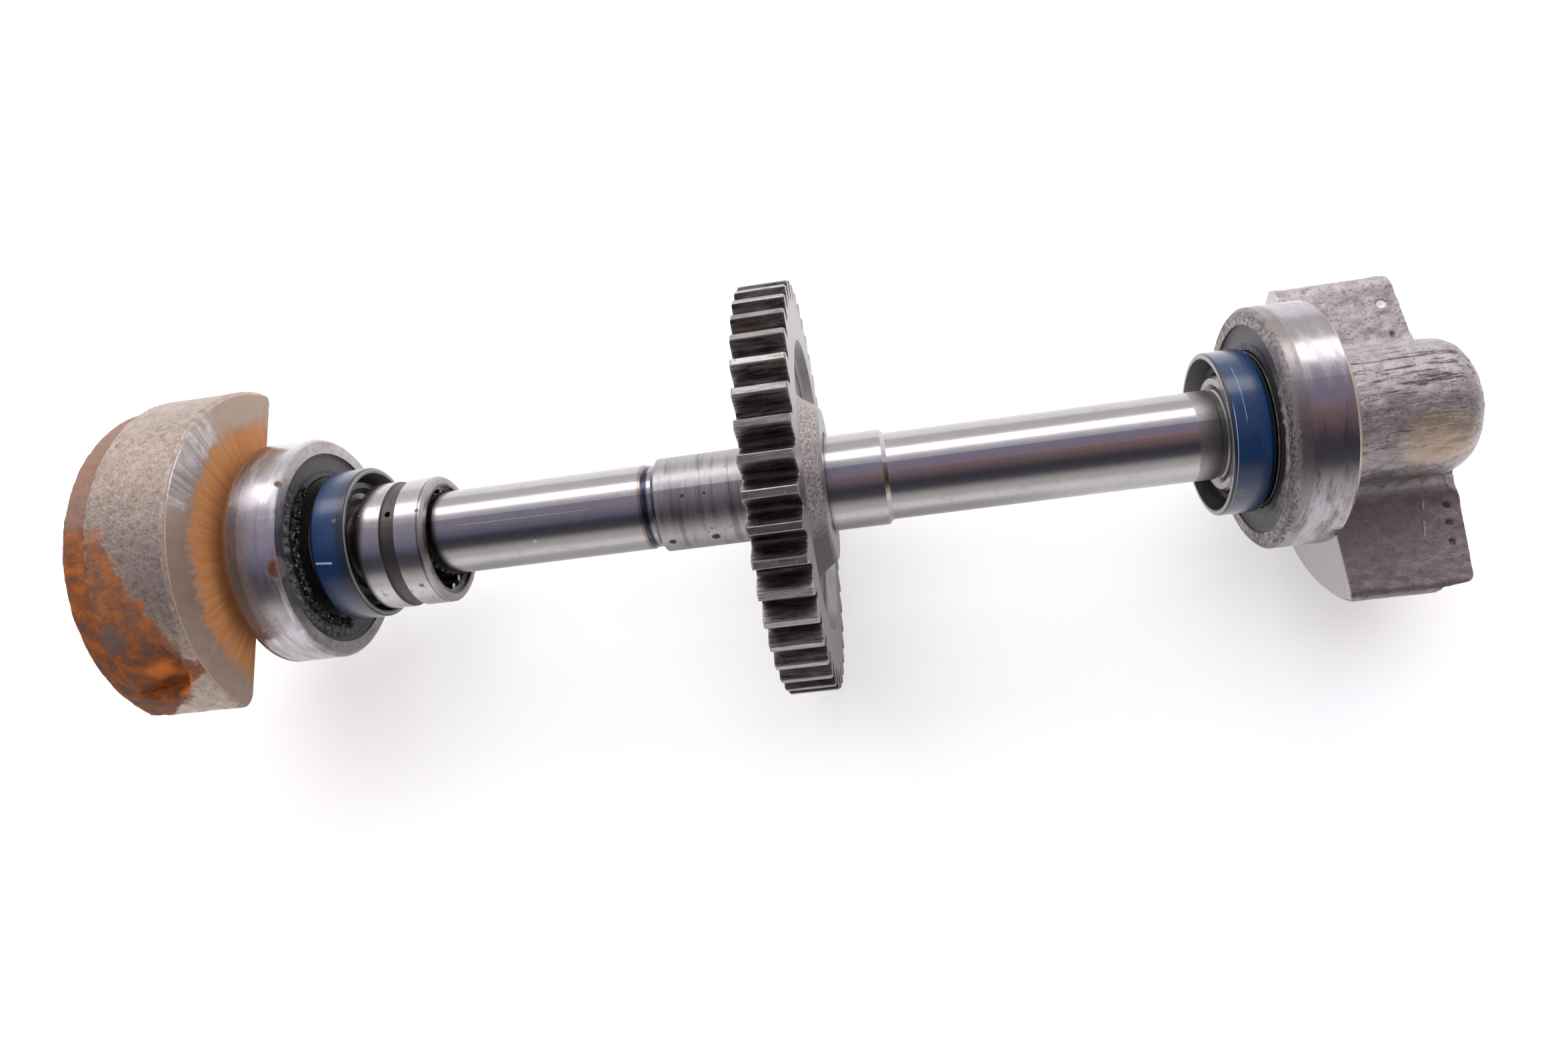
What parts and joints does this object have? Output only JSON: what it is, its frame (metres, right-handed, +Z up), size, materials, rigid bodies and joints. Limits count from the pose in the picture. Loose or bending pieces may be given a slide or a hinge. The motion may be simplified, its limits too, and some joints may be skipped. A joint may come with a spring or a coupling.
{
  "type": "balance shaft",
  "caption": "Engine balance shaft with a spur gear, a half-round cast weight on each end, half a turn apart, ball bearings, oil seals and a loose needle bearing.",
  "frame": {"origin": "on the shaft's axis, at the middle of the gear's face width", "axes": "+X along the shaft, towards the end with the longer gear hub; +Z up, with the left weight's bulge up and the right weight's bulge down"},
  "size_m": [0.4077, 0.1269, 0.127],
  "materials": {
    "ground_steel": "ground and polished, with worn bands",
    "gear_steel": "dark, with an oil tint and bright tooth tips",
    "cast_iron": "rough casting with rust",
    "bearing_steel": "polished",
    "needle_steel": "ground",
    "cage_steel": "pressed sheet",
    "ball_steel": "mirror",
    "shield_rubber": "matt dark rubber on a steel disc",
    "blue_rubber": "glossy blue rubber",
    "spring_steel": "plain wire"
  },
  "bodies": {
    "shaft": {"balance_shaft": "ground_steel", "drive_gear": "gear_steel", "left_counterweight": "cast_iron", "right_counterweight": "cast_iron", "left_bearing_inner_ring": "bearing_steel", "right_bearing_inner_ring": "bearing_steel", "needle_bearing_outer_ring": "needle_steel"},
    "needle_cage": {"needle_bearing_cage": "cage_steel", "needle_bearing_rollers": "ball_steel"},
    "left_bearing_outer": {"left_bearing_outer_ring": "bearing_steel", "left_bearing_inboard_shield": "shield_rubber", "left_bearing_outboard_shield": "shield_rubber"},
    "left_ball_cage": {"left_bearing_cage": "cage_steel", "left_bearing_balls": "ball_steel"},
    "left_seal": {"left_oil_seal": "blue_rubber", "left_seal_spring": "spring_steel"},
    "right_bearing_outer": {"right_bearing_outer_ring": "bearing_steel", "right_bearing_inboard_shield": "shield_rubber", "right_bearing_outboard_shield": "shield_rubber"},
    "right_ball_cage": {"right_bearing_cage": "cage_steel", "right_bearing_balls": "ball_steel"},
    "right_seal": {"right_oil_seal": "blue_rubber", "right_seal_spring": "spring_steel"}
  },
  "joints": [
    {"name": "left_outer_ring_spin", "type": "hinge", "parent": "shaft", "child": "left_bearing_outer", "pos_m": [-0.1605, 0, 0], "axis": [1, 0, 0], "continuous": true},
    {"name": "left_ball_cage_spin", "type": "hinge", "parent": "shaft", "child": "left_ball_cage", "pos_m": [-0.1605, 0, 0], "axis": [1, 0, 0], "continuous": true},
    {"name": "left_seal_turn", "type": "hinge", "parent": "shaft", "child": "left_seal", "pos_m": [-0.1426, 0, 0], "axis": [1, 0, 0], "continuous": true},
    {"name": "right_outer_ring_spin", "type": "hinge", "parent": "shaft", "child": "right_bearing_outer", "pos_m": [0.1462, 0, 0], "axis": [1, 0, 0], "continuous": true},
    {"name": "right_ball_cage_spin", "type": "hinge", "parent": "shaft", "child": "right_ball_cage", "pos_m": [0.1462, 0, 0], "axis": [1, 0, 0], "continuous": true},
    {"name": "right_seal_turn", "type": "hinge", "parent": "shaft", "child": "right_seal", "pos_m": [0.1315, 0, 0], "axis": [1, 0, 0], "continuous": true},
    {"name": "needle_cage_spin", "type": "hinge", "parent": "shaft", "child": "needle_cage", "pos_m": [-0.1253, -0.00125, -0.00199], "axis": [1, 0, 0], "continuous": true}
  ],
  "couplings": [
    {"joint": "left_ball_cage_spin", "follows": "left_outer_ring_spin", "ratio": 0.6038},
    {"joint": "right_ball_cage_spin", "follows": "right_outer_ring_spin", "ratio": 0.6038}
  ]
}
